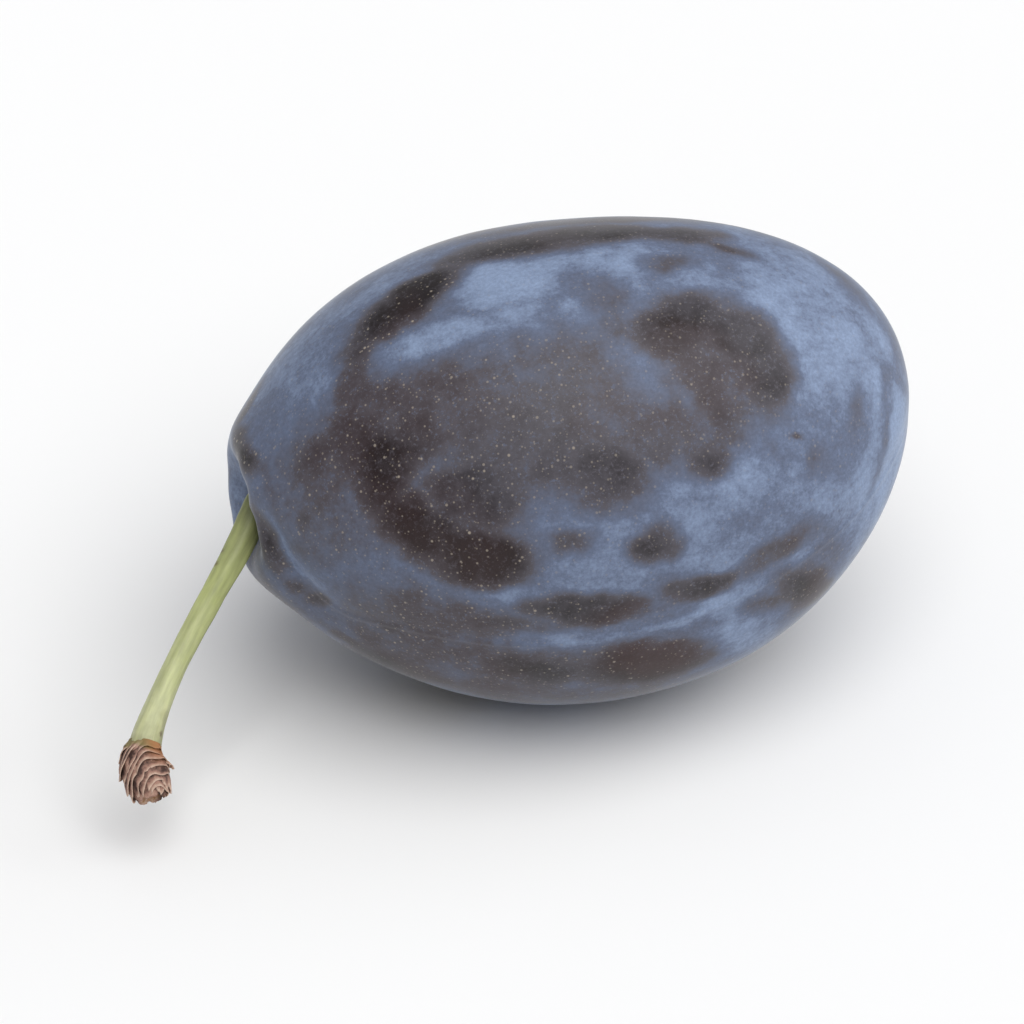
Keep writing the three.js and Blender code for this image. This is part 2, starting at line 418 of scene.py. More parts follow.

# Where the bloom is rubbed or thin, and a few places of painted shade: along
# the fruit in mm from its middle, degrees from the top over the front, half
# length and half width in mm, tilt in degrees from the fruit's length, and how
# bare the skin is, from 0 to 1.
RUBBED_AND_SHADED_PATCHES = (
    (-10.2, 34, 8.6, 3.6, 12, 0.38),  # the large brown one, and its lower end
    (-7.2, 46, 5.9, 3.6, 14, 0.54),
    (-10.8, 57, 3.6, 2.5, 10, 0.68),
    (-15.4, 25, 2.2, 1.8, 20, 0.50),
    (-18.0, 33, 2.6, 2.5, 34, 0.70),  # its dark end by the stem
    (-16.6, 43, 2.7, 2.2, 20, 0.92),
    (-14.0, 38, 2.2, 2.2, 0, 0.66),
    (-17.0, 53, 2.3, 1.4, 48, 0.86),
    (-14.8, 65, 3.6, 2.3, 34, 0.98),  # the dark band under it
    (-11.0, 74, 3.1, 2.3, 12, 0.96),
    (-11.0, -7, 3.5, 2.2, -24, 0.98),  # the dark one by the top, stem side
    (-13.9, -3, 2.6, 2.0, -14, 0.84),
    (-16.2, 3, 1.8, 1.5, 5, 0.58),
    (-17.1, 15, 1.9, 2.5, 10, 0.52),
    (-4.0, -14, 4.6, 1.9, 12, 0.92),  # the dark streak along the top
    (2.6, -14, 4.4, 1.9, 8, 0.86),
    (8.4, -11, 3.5, 1.3, 4, 0.72),
    (12.4, -3, 1.5, 0.5, 28, 0.66),
    (4.0, -27, 6.5, 1.6, 4, 0.62),
    (6.9, 3, 1.8, 1.0, -17, 0.45),
    (7.0, 21, 3.9, 1.9, -6, 0.74),  # the horseshoe on the blossom side
    (10.4, 27, 2.6, 2.3, -11, 0.80),
    (11.8, 37, 2.9, 2.0, -78, 0.84),
    (5.6, 26, 2.8, 2.4, -4, 0.70),
    (1.2, 17, 1.9, 2.6, 0, 0.38),
    (7.8, 33, 3.3, 2.6, 0, 0.56),
    (7.7, 45, 3.0, 2.2, -74, 0.60),
    (6.3, 56, 1.7, 1.3, 12, 0.76),
    (3.0, 48, 4.4, 2.5, 8, 0.47),  # the middle ones
    (-2.9, 38, 4.4, 6.5, 0, 0.38),
    (-1.2, 56, 3.0, 2.2, 11, 0.70),
    (-4.0, 71, 1.3, 0.9, 0, 0.58),
    (1.7, 75, 1.9, 1.2, 5, 0.70),
    (-3.6, 90, 4.3, 1.6, 2, 0.82),  # above the suture
    (-9.1, 96, 3.4, 0.8, 2, 0.56),
    (5.3, 89, 2.4, 1.0, 8, 0.72),
    (10.8, 87, 3.3, 1.0, -4, 0.50),
    (13.7, 107, 3.4, 1.3, 60, 0.94),
    (10.7, 104, 2.2, 0.8, 20, 0.56),
    (-6.9, 114, 3.6, 2.0, -6, 0.90),  # under the suture
    (-2.4, 114, 1.6, 1.1, 5, 0.60),
    (1.6, 113, 4.8, 2.4, 14, 1.00),
    (-17.3, 108, 1.4, 0.7, -20, 0.62),  # by the stem
    (-19.0, 135, 1.3, 0.8, -30, 0.78),
    (-22.2, 113, 0.7, 0.5, -40, 0.88),
    (-21.3, 115, 0.8, 0.6, -30, 0.86),
    (-22.0, 63, 1.2, 1.0, -15, 0.52),
    (-20.6, 35, 2.1, 1.7, 20, 0.58),
    (-22.7, -39, 1.6, 0.8, 0, 0.60),
    (-23.7, 1, 2.7, 0.8, 82, 0.98),  # painted shade along the cavity's rim, where the streak runs in
    (-23.5, 86, 2.2, 0.9, 57, 0.80),  # painted shade in the hollow beside the stem
    (18.6, 55, 0.8, 0.5, -48, 0.52),
    (14.5, 64, 0.7, 0.5, 50, 0.42),
    (13.1, 57, 0.4, 0.12, 26, 1.00),  # the little scratch
    (21.2, 67, 3.0, 0.5, -62, 0.50),
    (21.1, 0, 2.3, 0.9, 45, 0.45),
    (-21.5, 46, 5.0, 6.0, 20, 0.28),  # wide thin stretches of bloom, also painted shade where the stem end and lower front turn from the light
    (-15.0, 106, 8.0, 5.0, -14, 0.34),
    (-5.0, 127, 10.0, 3.2, 0, 0.44),
)

# Where the bloom lies thick, and a few painted highlights, with the same six values.
THICK_AND_LIT_PATCHES = (
    (-20.8, 6, 2.8, 2.2, 50, 0.12),
    (-5.8, 2, 3.9, 2.1, 30, 0.90),
    (-3.0, 16, 4.2, 1.8, 8, 0.55),
    (-11.3, 13, 5.0, 1.5, 0, 1.00),
    (2.0, 0, 4.0, 1.6, 4, 0.60),
    (15.8, 20, 6.8, 5.4, -20, 0.52),
    # thicker bloom, and a painted highlight along the blossom end's rim
    (21.6, 15, 4.0, 1.6, 80, 0.55),
    (17.7, 45, 5.2, 3.8, -61, 0.46),
    (18.3, 74, 2.6, 1.6, -60, 0.50),
    (0.4, 36, 2.4, 2.0, -47, 0.22),
    (6.8, 78, 3.9, 2.4, 14, 0.45),
    (-4.5, 101, 5.4, 0.5, -3, 0.60),
    (-10.3, 102, 2.6, 0.5, -6, 0.50),
    (3.6, 99, 3.0, 0.6, 2, 0.80),
    (7.4, 97, 3.2, 1.4, 6, 0.65),
    (13.2, 91, 1.8, 0.9, -20, 0.90),
    (-10.5, 86, 3.7, 1.1, 0, 0.62),
    (-13.5, 126, 2.6, 1.4, -18, 1.00),
    (8.4, 114, 3.9, 2.0, 24, 0.46),
    # thicker bloom, and a painted highlight along the blossom end's rim
    (21.9, 64, 4.7, 1.8, 72, 0.90),
    (17.0, 86, 4.0, 2.0, 50, 0.60),
    (20.0, 96, 4.0, 2.0, -50, 0.60),
    (12.0, 72, 5.0, 3.0, 20, 0.40),
    (-22.8, 80, 3.2, 0.5, 57, 0.78),  # painted highlight on the crest of the fold beside the stem
)

# Where bare skin is redder than elsewhere, with the same six values.
RUDDY_PATCHES = (
    (-14.2, 72, 4.2, 2.6, 24, 0.45),
    (-18.0, 18, 2.0, 2.6, 10, 0.60),
    (2.1, 110, 4.0, 2.4, 14, 1.00),
    (0.6, 94, 3.4, 1.6, 0, 0.70),
    (-12.0, 31, 5.0, 3.0, 0, 0.45),
    (6.0, 30, 3.6, 2.6, 0, 0.45),
)
FAR_PATCHES = 36  # drawn by the seed, on the sides that the list leaves free
FAR_PLACES = (-22, 22)  # mm along the fruit
FAR_TURNS = (128, 338)  # degrees from the top over the front
FAR_HALF_LENGTHS = (1.0, 6.0)  # mm
FAR_HALF_WIDTHS = (0.7, 3.6)  # mm
FAR_TILTS = (-45, 45)  # degrees
FAR_STRENGTHS = (0.45, 0.95)
PATCH_SHARPNESS = 5  # how little two patches add up where they cross
PATCH_DEPTH = 8 * MM  # keeps a patch off the fruit's other side
PATCH_FADE = 1.1 * MM  # from full to nothing across a patch's edge
WIDE_FADE = 0.55  # added to that, as a share of the patch's half width
THIN_FADE = 4  # the first fade is never more than this many half widths
MEAN_SOFTNESS = 1.15  # of the edges, times the fades above
FADE_CHANGE = 0.9  # how much softer and sharper the edges turn from place to place
FADE_WAVES = 0.13 / MM  # of the noise that turns them so
FADE_SEED = 50
EDGE_WANDER = 0.7 * MM  # how far an edge strays from its ellipse
WANDER_WAVES = ((0.28 / MM, 1), (0.7 / MM, 0.5))  # two noises, each with its weight
WANDER_SEEDS = (3, 31, 67)  # for the shifts along X, Y and Z
SMALL_STEP = 0.01  # radians, to find the skin's directions at a patch


LEAST_BARE = 0.02  # where the bloom is thickest
LEAST_BARE_SOFTNESS = 0.14
CORKY_DOTS = (  # cells to the mm, largest radius as a share of a cell, how strongly they show
    (3.2, 0.30, 0.42),
    (2.2, 0.27, 0.60),
    (1.2, 0.16, 0.90),
)
SPARSE_DOTS = (-18 * MM, 8 * MM)  # along X, from where the dots show most to least


def suture_middle(fruit, polar):
    """The turn at which the furrow's bottom lies: it sags, then swings up beside the stem."""
    swing = SUTURE_SWING * bell((polar / SUTURE_SWING_REACH) ** 2)
    sag = SUTURE_SAG * bell((polar - SUTURE_SAG_PLACE) / SUTURE_SAG_REACH)
    return fruit.suture_turn - fruit.suture_twist * np.cos(polar) + swing + sag


def skin_points(fruit, polar, turn):
    """The skin's points, before the flat spot. polar runs from the stem pole to the blossom pole."""
    along = -np.cos(polar)
    waist = np.sin(polar)
    stem_half = polar < math.pi / 2
    off = wrap(turn - fruit.suture_turn)
    slimness = np.where(stem_half, STEM_END_SLIMNESS * (1 + np.cos(off)) / 2, 0)
    fullness = 1 - slimness * np.sin(2 * polar) ** 2
    x = fruit.half_length * along * fullness
    out = fruit.half_depth * np.cos(off) * fullness * waist
    side = fruit.half_thickness * np.sin(off) * fullness * waist

    reach = np.hypot(out / CAVITY_STRETCH, side)
    hollow = fruit.cavity_depth * bell(reach / fruit.cavity_radius)
    hollow += SOCKET_DEPTH * bell((reach / SOCKET_RADIUS) ** 2)
    hollow -= SHOULDER_HEIGHT * bell((reach - SHOULDER_RADIUS) / SHOULDER_WIDTH)
    pucker = np.cos(PUCKERS * np.arctan2(side, out) + PUCKER_TWIST * along)
    hollow += PUCKER_HEIGHT * pucker * bell((reach - PUCKER_RADIUS) / PUCKER_WIDTH)
    reach = np.hypot(out, side)
    tip = STYLE_HEIGHT * bell((reach / STYLE_RADIUS) ** 2) - DIMPLE_DEPTH * bell(reach / DIMPLE_RADIUS)
    x = x + np.where(stem_half, hollow, tip)

    beside = wrap(turn - suture_middle(fruit, polar))
    near_stem = bell(polar / SUTURE_STEM_REACH)
    depth = fruit.suture_depth + fruit.suture_stem_depth * near_stem
    half_width = SUTURE_HALF_WIDTH + near_stem * np.where(beside > 0, SUTURE_GENTLER, -SUTURE_STEEPER)
    rise = -depth * bell(beside / half_width) * np.minimum(2 * waist, 1)
    line = beside * fruit.half_depth * waist / SUTURE_LINE_WIDTH
    trough = SUTURE_TROUGH_DEPTH * bell(line / SUTURE_TROUGH_WIDTH)
    rise += SUTURE_LINE_DEPTH * (bell(line) - trough) * waist
    for height, lobes, start, twist in SWELLS:
        rise += height * np.sin(lobes * turn + start + twist * along) * waist**2
    rough = np.stack((x, out, side), axis=-1)
    rise += UNEVENNESS * noise_at(rough, 1 / UNEVENNESS_SIZE) * waist
    out = out + rise * np.cos(off)
    side = side + rise * np.sin(off)

    up, across = math.cos(fruit.suture_turn), math.sin(fruit.suture_turn)
    y = -out * across - side * up
    z = out * up - side * across
    z = z + fruit.tip_lift * np.clip(along, 0, None) ** 3
    flat = FLAT_TOP_DEPTH * bell(wrap(turn - FLAT_TOP_TURN) / FLAT_TOP_HALF_WIDTH)
    flat *= bell((along - FLAT_TOP_MIDDLE) / FLAT_TOP_HALF_LENGTH) * waist
    y = y + flat * math.sin(FLAT_TOP_TURN)
    z = z - flat * math.cos(FLAT_TOP_TURN)
    return np.stack((x, y, z + fruit.rest_height), axis=-1)


def skin_grid(fruit):
    """Rows of polar angles and turns, crowded at the poles and along the suture."""
    even = np.linspace(0, math.pi, fruit.rings + 2)[1:-1]
    polar = even - POLE_CROWDING * np.sin(2 * even) / 2
    round_even = np.linspace(-math.pi, math.pi, fruit.sides, endpoint=False)
    beside = round_even - SUTURE_CROWDING * np.sin(round_even)
    polar = np.repeat(polar[:, None], fruit.sides, axis=1)
    turn = suture_middle(fruit, polar) + beside[None, :]
    return polar, turn


def patch_field(fruit, points, patch, softness=1):
    """1 inside a patch, fading to 0 past its edge, for every point of the skin."""
    along, turn, half_length, half_width, tilt, _ = patch
    polar = math.acos(max(-1, min(1, -along * MM / fruit.half_length)))
    polars = np.array((polar, polar + SMALL_STEP, polar))
    turns = np.array((turn * DEG, turn * DEG, turn * DEG + SMALL_STEP))
    middle, further, lower = skin_points(fruit, polars, turns)
    forward = (further - middle) / np.linalg.norm(further - middle)
    down = lower - middle - forward * np.dot(forward, lower - middle)
    down /= np.linalg.norm(down)
    tilt = tilt * DEG
    major = forward * math.cos(tilt) + down * math.sin(tilt)
    minor = down * math.cos(tilt) - forward * math.sin(tilt)
    away = points - middle
    reach = np.sqrt(
        (away @ major / (half_length * MM)) ** 2
        + (away @ minor / (half_width * MM)) ** 2
        + (away @ np.cross(major, minor) / PATCH_DEPTH) ** 2
    )
    past = (reach - 1) * half_width * MM
    fade = min(PATCH_FADE, THIN_FADE * half_width * MM) + WIDE_FADE * half_width * MM
    return smooth(0.5 - past / (softness * fade))


def far_patches(fruit):
    """Rubbed patches on the sides that the list leaves free, with the same six values."""
    draw = random.Random(fruit.seed)
    patches = []
    for _ in range(FAR_PATCHES):
        half_length = draw.uniform(*FAR_HALF_LENGTHS)
        half_width = min(draw.uniform(*FAR_HALF_WIDTHS), half_length)
        place = (draw.uniform(*FAR_PLACES), draw.uniform(*FAR_TURNS))
        look = (draw.uniform(*FAR_TILTS), draw.uniform(*FAR_STRENGTHS))
        patches.append((*place, half_length, half_width, *look))
    return patches


def strayed(points):
    """The points moved about by noise, so that whatever is measured at them gets ragged edges."""
    shifts = [
        sum(share * noise_at(points, waves, seed) for waves, share in WANDER_WAVES)
        for seed in WANDER_SEEDS
    ]
    return points + EDGE_WANDER * np.stack(shifts, axis=-1)


def blend_patches(fruit, points, patches):
    """How strongly the patches show at each point: their largest, with soft crossings."""
    total = np.zeros(points.shape[:-1])
    softness = MEAN_SOFTNESS + FADE_CHANGE * noise_at(points, FADE_WAVES, FADE_SEED)
    for patch in patches:
        total += (patch[-1] * patch_field(fruit, points, patch, softness)) ** PATCH_SHARPNESS
    return total ** (1 / PATCH_SHARPNESS)


def skin_finish(fruit):
    """Waxy bloom over dark skin, rubbed through in patches, with corky dots."""
    skin = Finish("plum_skin_bloom")
    here = skin.here()
    cloud = skin.noise(here, 0.12, detail=4, roughness=0.5, distortion=0.3)
    ragged = skin.noise(here, 0.5, detail=6, roughness=0.65)
    crumbs = skin.noise(here, 2.6, detail=4, roughness=0.7)
    wiped = skin.place(here, scale=(0.30, 1, 1), turn=(20 * DEG, 24 * DEG, -16 * DEG))
    wiped = skin.noise(wiped, 0.8, detail=4, distortion=1.2)
    mottle = skin.noise(here, 1.1, detail=5, roughness=0.6, distortion=0.4)
    powder = skin.noise(here, 3.3, detail=3, roughness=0.8)

    # How bare: the patches with frayed edges, some of them painted shade, and what
    # thin and wiped stretches add outside them, less where the bloom lies thick,
    # where highlights are painted and where specks of it are left.
    rubbed_and_shaded = skin.attribute("rubbed_and_shaded")
    teeth = skin.spread(ragged, 0.25, 0.75, -0.16, 0.16, False)
    frayed = skin.calc("MULTIPLY", teeth, skin.spread(rubbed_and_shaded, 0, 0.3))
    frayed = skin.calc("ADD", frayed, skin.sway(crumbs, 0.045))
    bare = skin.calc("ADD", rubbed_and_shaded, frayed)
    thin = skin.spread(cloud, 0.32, 0.68, 0.14, 0.36)
    thin = skin.calc("ADD", thin, skin.sway(mottle, 0.045))
    thin = skin.calc("ADD", thin, skin.sway(wiped, 0.04))
    left = skin.calc("SUBTRACT", 1.0, rubbed_and_shaded, clamp=True)
    bare = skin.calc("ADD", bare, skin.calc("MULTIPLY", thin, left))
    clumps = skin.spread(ragged, 0.25, 0.75, 0.75, 1.15, False)
    thick_and_lit = skin.calc("MULTIPLY", skin.attribute("thick_and_lit"), clumps)
    bare = skin.calc("SUBTRACT", bare, skin.calc("MULTIPLY", thick_and_lit, 0.28))
    specks = skin.calc("MULTIPLY", skin.spread(powder, 0.50, 0.72, 0, 0.32), skin.spread(bare, 0.25, 0.8))
    bare = skin.calc("SUBTRACT", bare, specks)
    limits = {0: bare, 1: LEAST_BARE, 2: LEAST_BARE_SOFTNESS}
    bare = skin.node("ShaderNodeMath", limits, operation="SMOOTH_MAX").outputs[0]

    stops = (
        (0.0, fruit.thick_bloom),
        (0.22, fruit.bloom),
        (0.55, fruit.thin_bloom),
        (0.98, fruit.bare_skin),
    )
    tint = skin.ramp(bare, stops)
    ruddy = skin.spread(skin.noise(here, 0.11, detail=1), 0.48, 0.66, 0, 0.5)
    ruddy = skin.calc("MAXIMUM", ruddy, skin.attribute("ruddy"))
    ruddy = skin.calc("MULTIPLY", ruddy, skin.spread(bare, 0.25, 0.80, 0, 0.62))
    tint = skin.mix(ruddy, tint, fruit.ruddy_skin)

    # Grain of the wax, and corky dots of all sizes. Only the largest stand out from the skin.
    grain = skin.noise(here, 4.0, detail=3, roughness=0.75)
    tint = skin.shade(tint, skin.spread(grain, 0.3, 0.7, 0.84, 1.16, False))
    dots = None
    for per_mm, radius, light in CORKY_DOTS:
        distance, chance = skin.cells(here, per_mm)
        size = skin.calc("MULTIPLY", chance, radius)
        dot = skin.spread(skin.calc("SUBTRACT", distance, size), -0.08, 0.04, 1, 0)
        dot = skin.calc("MULTIPLY", dot, skin.spread(chance, 0.25, 0.8, 0, light))
        dots = dot if dots is None else skin.calc("MAXIMUM", dots, dot)
    tint = skin.mix(skin.attribute("scar"), tint, fruit.style_scar)
    shown = skin.calc("MULTIPLY", dots, skin.spread(bare, 0.05, 0.6, 0.22, 0.70))
    along = skin.node("ShaderNodeSeparateXYZ", {0: here}).outputs["X"]
    shown = skin.calc("MULTIPLY", shown, skin.spread(along, *SPARSE_DOTS, 1.25, 0.75))
    tint = skin.mix(shown, tint, fruit.lenticel)

    height = skin.calc("ADD", dot, skin.calc("MULTIPLY", crumbs, 0.6))
    return skin.dress(
        Base_Color=tint,
        Roughness=skin.spread(bare, 0.1, 0.9, 0.62, 0.40, False),
        Specular_IOR_Level=0.30,
        Sheen_Weight=0.44,
        Sheen_Roughness=0.26,
        Sheen_Tint=(0.93, 0.96, 1.0, 1.0),
        Normal=skin.bump(height, 0.5, 0.03 * MM),
    )


class PLUM_OT_fruit(bpy.types.Operator):
    """Build the fruit's skin with its suture, cavity and bloom"""

    bl_idname = "plum.fruit"
    bl_label = "Build Fruit"

    def execute(self, context):
        fruit = context.scene.plum_fruit
        polar, turn = skin_grid(fruit)
        points = skin_points(fruit, polar, turn)
        points[..., 2] = np.maximum(points[..., 2], 0)
        skin = closed_round("fruit_skin", points)
        strays = strayed(points)
        lists = {
            "rubbed_and_shaded": (*RUBBED_AND_SHADED_PATCHES, *far_patches(fruit)),
            "thick_and_lit": THICK_AND_LIT_PATCHES,
            "ruddy": RUDDY_PATCHES,
        }
        for name, patches in lists.items():
            store(skin, name, with_caps(blend_patches(fruit, strays, patches)))
        off_tip = np.linalg.norm(strays[..., 1:] - points[-1, :, 1:].mean(axis=0), axis=-1)
        scar = np.where(polar > math.pi / 2, bell((off_tip / STYLE_SCAR_RADIUS) ** 2), 0)
        store(skin, "scar", with_caps(scar))
        finish_piece(skin, skin_finish(fruit), "fruit")
        return {"FINISHED"}


# ---------------------------------------------------------------------------
# Stem
# ---------------------------------------------------------------------------

STEM_ROUTE = (  # mm from the fruit's middle: out along -X, and along the lean
    (21.8, -0.5),
    (23.0, -0.4),
    (23.9, 0.9),
    (25.2, 2.8),
    (28.2, 6.6),
    (31.2, 10.5),
    (33.4, 13.8),
    (34.7, 16.3),
    (35.05, 17.8),
    (34.9, 20.3),
)
STEM_RADII = (0.95, 1.06, 0.97, 0.89, 0.86, 0.84, 0.92, 1.15)  # mm, root to knob
STEM_SPOTS = (  # share of the length, degrees round it, radius in mm
    (0.285, 200, 0.16),
    (0.335, 203, 0.20),
    (0.60, 30, 0.12),
    (0.955, 325, 0.22),
)
STEM_RIBS = 5
RIB_HEIGHT = 0.03  # share of the radius
RIB_PITCH = 4 * MM  # they turn by a radian over this length
STEM_SWELLING = 0.05 * MM  # random thicker and thinner stretches
SWELLING_WAVES = 0.45 / MM
STEM_IN_KNOB = 0.25 * MM  # how far the stem runs on into the knob
SPOT_STRENGTH = 0.85
ROUTE_STEPS = 60  # points read off each stretch of the route


def bending_axes(stem):
    """Out of the fruit, along the lean, and square to both."""
    outward = np.array((-1.0, 0.0, 0.0))
    leaning = np.array((0.0, -math.cos(stem.lean), -math.sin(stem.lean)))
    return outward, leaning, np.cross(outward, leaning)


def stem_line(stem, rest_height):
    """Points along a smooth curve through the route, and their distance from the root."""
    outward, leaning, _ = bending_axes(stem)
    knots = [(out * outward + lean * leaning) * MM for out, lean in STEM_ROUTE]
    knots = [2 * knots[0] - knots[1], *knots, 2 * knots[-1] - knots[-2]]
    line = []
    for before, start, end, after in zip(knots, knots[1:], knots[2:], knots[3:]):
        for step in range(ROUTE_STEPS):
            t = step / ROUTE_STEPS
            line.append(
                start
                + t * (end - before) / 2
                + t**2 * (before - 2.5 * start + 2 * end - 0.5 * after)
                + t**3 * (1.5 * start - 0.5 * before - 1.5 * end + 0.5 * after)
            )
    line.append(knots[-2])
    line = np.array(line) + np.array((0, 0, rest_height))
    steps = np.linalg.norm(np.diff(line, axis=0), axis=1)
    return line, np.concatenate(([0], np.cumsum(steps)))


def along_line(line, travelled, distances):
    """Points and directions at the given distances, straight on past either end."""
    inside = np.clip(distances, 0, travelled[-1])
    directions = np.gradient(line, travelled, axis=0)
    points = np.stack([np.interp(inside, travelled, line[:, i]) for i in range(3)], axis=-1)
    forward = np.stack([np.interp(inside, travelled, directions[:, i]) for i in range(3)], axis=-1)
    forward /= np.linalg.norm(forward, axis=-1, keepdims=True)
    points += forward * (distances - inside)[..., None]
    return points, forward


def lay_round(context, distances, turns, radii):
    """Points of a round laid along the stem's line, with the given radius at each."""
    stem = context.scene.plum_stem
    _, _, across = bending_axes(stem)
    line, travelled = stem_line(stem, context.scene.plum_fruit.rest_height)
    points, forward = along_line(line, travelled, distances)
    upper = np.cross(across, forward)
    wide = (radii * np.cos(turns))[..., None] * upper
    deep = (radii * np.sin(turns))[..., None] * across
    return points + wide - deep


def knob_start(context):
    """Distance along the line where the knob begins."""
    stem, knob = context.scene.plum_stem, context.scene.plum_knob
    _, travelled = stem_line(stem, context.scene.plum_fruit.rest_height)
    return travelled[-1] - knob.length


def blend(first, second, share):
    """A colour between two, with that share of the second."""
    return tuple((1 - share) * a + share * b for a, b in zip(first, second))


def stem_finish(stem):
    """Yellow green, olive at the root, with brown flecks and fine lines."""
    green = Finish("stem_green")
    place = green.attribute("straight_place", vector=True)
    share = green.attribute("share")
    lines = green.noise(green.place(place, scale=(1, 1, 0.12)), 2.2, detail=4, roughness=0.6)
    blotch = green.noise(place, 0.45, detail=3)
    along = green.calc("ADD", share, green.sway(blotch, 0.09))
    stops = (
        (0.02, stem.root_green),
        (0.22, blend(stem.root_green, stem.mid_green, 0.45)),
        (0.45, stem.mid_green),
        (0.89, stem.end_green),
        (0.99, blend(stem.fleck, stem.end_green, 0.7)),
    )
    tint = green.ramp(along, stops)
    tint = green.shade(tint, green.spread(lines, 0.3, 0.72, 0.72, 1.14, False))
    distance, chance = green.cells(green.place(place, scale=(1, 1, 0.55)), 0.75)
    size = green.spread(chance, 0.6, 1.0, 0, 0.24, False)
    fleck = green.spread(green.calc("SUBTRACT", distance, size), -0.12, 0.02, 0.85, 0)
    fleck = green.calc("MULTIPLY", fleck, green.calc("GREATER_THAN", size, 0.01))
    tint = green.mix(green.calc("MAXIMUM", fleck, green.attribute("spot")), tint, stem.fleck)
    height = green.calc("ADD", lines, green.calc("MULTIPLY", fleck, 0.5))
    return green.dress(
        Base_Color=tint,
        Roughness=green.spread(blotch, 0.3, 0.7, 0.42, 0.56, False),
        Specular_IOR_Level=0.45,
        Subsurface_Weight=0.12,
        Subsurface_Radius=(0.6, 0.8, 0.2),
        Subsurface_Scale=0.6 * MM,
        Normal=green.bump(height, 0.6, 0.05 * MM),
    )


class PLUM_OT_stem(bpy.types.Operator):
    """Build the green stem along its bend"""

    bl_idname = "plum.stem"
    bl_label = "Build Stem"

    def execute(self, context):
        stem, knob = context.scene.plum_stem, context.scene.plum_knob
        end = knob_start(context)
        distances = np.linspace(-stem.sunk, end + STEM_IN_KNOB, stem.rings)
        turns = np.linspace(0, 2 * math.pi, stem.sides, endpoint=False)
        share = np.clip(distances / end, 0, 1)
        radii = np.interp(share, np.linspace(0, 1, len(STEM_RADII)), STEM_RADII) * MM
        radii = np.minimum(radii, knob.start_radius)
        distances, around = np.meshgrid(distances, turns, indexing="ij")
        radii = np.repeat(radii[:, None], stem.sides, axis=1)
        straight = np.stack((radii * np.cos(around), radii * np.sin(around), distances), axis=-1)
        radii = radii * (1 + RIB_HEIGHT * np.cos(STEM_RIBS * around + distances / RIB_PITCH))
        radii = radii + STEM_SWELLING * noise_at(straight, SWELLING_WAVES)
        points = lay_round(context, distances, around, radii)
        made = closed_round("green_stem", points, flipped=True)
        store(made, "straight_place", with_caps(straight))
        store(made, "share", with_caps(np.repeat(share[:, None], stem.sides, axis=1)))
        store(made, "spot", with_caps(self.spots(distances / end, around, radii, end)))
        finish_piece(made, stem_finish(stem), "stem")
        return {"FINISHED"}

    def spots(self, share, around, radii, end):
        """How strongly the brown spots show at each point."""
        shown = np.zeros(share.shape)
        for place, turn, radius in STEM_SPOTS:
            reach = np.hypot((share - place) * end, radii * wrap(around - turn * DEG))
            shown = np.maximum(shown, SPOT_STRENGTH * bell((reach / (radius * MM)) ** 2))
        return shown


# ---------------------------------------------------------------------------
# Knob of bud scales
# ---------------------------------------------------------------------------

KNOB_RINGS = 70
KNOB_SIDES = 80
DISH_RINGS = 16
RIM_RAGGEDNESS = 0.10 * MM
CORE_ROUGHNESS = 0.08 * MM  # random lumps of the core
CORE_GRAIN = 0.05 * MM  # finer ones
CORE_SINK = 0.06 * MM  # how far the core lies under the knob's radius
CORE_SHORTER = 0.1 * MM  # and how far its rim lies short of the knob's end
TORN_ROUGHNESS = 0.14 * MM  # lumps of the broken face
TORN_GRAIN = 0.35  # finer ones, as a share of its depth
TORN_EDGE = 0.12  # share of the radius over which scale turns to torn wood
SCALE_ACROSS = 22  # points across a scale
SCALE_ALONG = 10  # points along it
SCALE_FOOT = 0.05 * MM  # how deep a scale's foot lies under the knob's radius
SCALE_RIDGES = 0.03 * MM  # height of the ridges along a scale
SCAR_SPACING = 0.125  # from one ring of scars to the next, as a share of the knob
SCAR_SPAN = 0.22  # length of a scar's scale, as a share of the knob
SCARS_IN_RING = 4
SCAR_ROUNDNESS = 0.03  # how much further a scar's middle reaches than its corners, the same
SCAR_RAGGEDNESS = 0.028  # how far its edge strays, the same
SCAR_TIPS = (0.07, 1.0)  # where tips may lie, the same
SCAR_LEAST = 0.5  # radians; a scar cut narrower than this is left out
SCAR_LIFTS = (0.08, 0.28)  # mm
RUSTY_SIDE = (-35.3 * MM, -34.0 * MM)  # along X, from the first trace to the full colour
SKEW = 0.60  # how much further down a ring lies on the outer side than on the inner
SKEW_START = 290 * DEG  # where round the knob a ring starts to run down
SKEW_REACH = 115 * DEG  # how far round it runs down; it comes back up over the rest
# Single scales: turn in degrees, place of the tip and length as shares of the
# knob, half width in degrees, lift of the tip in mm, and how far the corners
# lie behind the tip, as a share of the knob.
SINGLE_SCALES = (
    (322, 0.90, 0.42, 22, 0.24, 0.16),
    (352, 0.95, 0.46, 20, 0.34, 0.14),
    (298, 0.97, 0.36, 15, 0.20, 0.10),
    (8, 0.50, 0.30, 13, 0.52, 0.14),
    (186, 0.45, 0.30, 18, 0.18, 0.12),
    (60, 0.90, 0.40, 24, 0.26, 0.14),
    (110, 0.96, 0.40, 22, 0.30, 0.14),
)


def knob_radius(knob, share):
    straight = knob.start_radius + (knob.end_radius - knob.start_radius) * share
    return straight + knob.bulge * np.sin(math.pi * np.clip(share, 0, 1))


def skew(turns):
    """How much further down the knob a ring lies at a turn, as a share of the knob."""
    gone = (SKEW_START - turns) % (2 * math.pi)
    down = smooth(gone / SKEW_REACH)
    back = 1 - smooth((gone - SKEW_REACH) / (2 * math.pi - SKEW_REACH))
    return SKEW * np.where(gone < SKEW_REACH, down, back)


